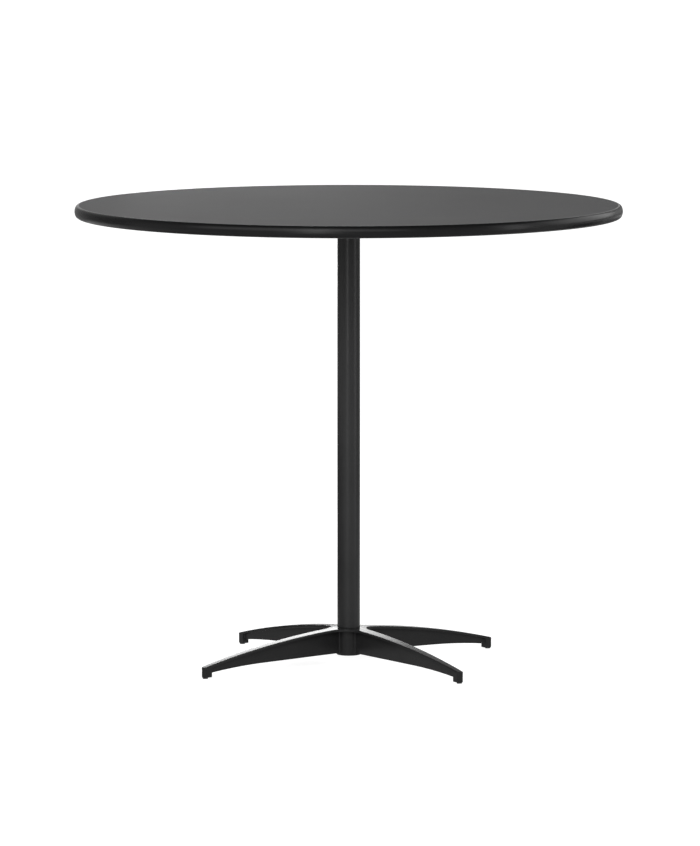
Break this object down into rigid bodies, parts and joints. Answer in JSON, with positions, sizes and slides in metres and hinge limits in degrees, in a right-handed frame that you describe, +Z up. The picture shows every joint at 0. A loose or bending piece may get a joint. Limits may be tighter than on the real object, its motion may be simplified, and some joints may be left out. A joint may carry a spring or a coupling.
{
  "type": "pedestal cocktail table",
  "caption": "Round black pedestal cocktail table: laminate top with a rounded edge, slim steel column and a cast base with arched arms on screw-in levelling glides.",
  "frame": {"origin": "on the floor, under the centre of the column", "axes": "+Z up, -Y towards the front, with the four arms on the diagonals between X and Y"},
  "size_m": [0.9144, 0.9144, 0.772],
  "materials": {
    "laminate": "satin black laminate",
    "board": "raw particle board",
    "backer": "dull dark balancing sheet",
    "edge_strip": "semi-gloss black vinyl",
    "black_paint": "satin black paint on steel",
    "column_paint": "satin black powder coat on steel tube",
    "base_paint": "semi-gloss black powder coat on a casting",
    "zinc_steel": "bright zinc plating",
    "nylon": "black nylon"
  },
  "bodies": {
    "table": {"top_laminate": "laminate", "top_core": "board", "backer_sheet": "backer", "edge_moulding": "edge_strip", "mounting_plate": "black_paint", "plate_screws": "zinc_steel", "plate_spigot": "black_paint", "rod_anchor_nut": "zinc_steel", "tie_rod": "zinc_steel", "column_tube": "column_paint", "base_casting": "base_paint", "hub_washer": "zinc_steel", "hub_lock_washer": "zinc_steel", "hub_nut": "zinc_steel"},
    "front_left_glide": {"front_left_glide_pad": "nylon", "front_left_glide_stem": "zinc_steel"},
    "front_right_glide": {"front_right_glide_pad": "nylon", "front_right_glide_stem": "zinc_steel"},
    "back_left_glide": {"back_left_glide_pad": "nylon", "back_left_glide_stem": "zinc_steel"},
    "back_right_glide": {"back_right_glide_pad": "nylon", "back_right_glide_stem": "zinc_steel"}
  },
  "joints": [
    {"name": "front_left_level", "type": "slide", "parent": "table", "child": "front_left_glide", "axis": [0, 0, -1], "range_m": [0, 0.005]},
    {"name": "front_right_level", "type": "slide", "parent": "table", "child": "front_right_glide", "axis": [0, 0, -1], "range_m": [0, 0.005]},
    {"name": "back_left_level", "type": "slide", "parent": "table", "child": "back_left_glide", "axis": [0, 0, -1], "range_m": [0, 0.005]},
    {"name": "back_right_level", "type": "slide", "parent": "table", "child": "back_right_glide", "axis": [0, 0, -1], "range_m": [0, 0.005]}
  ]
}
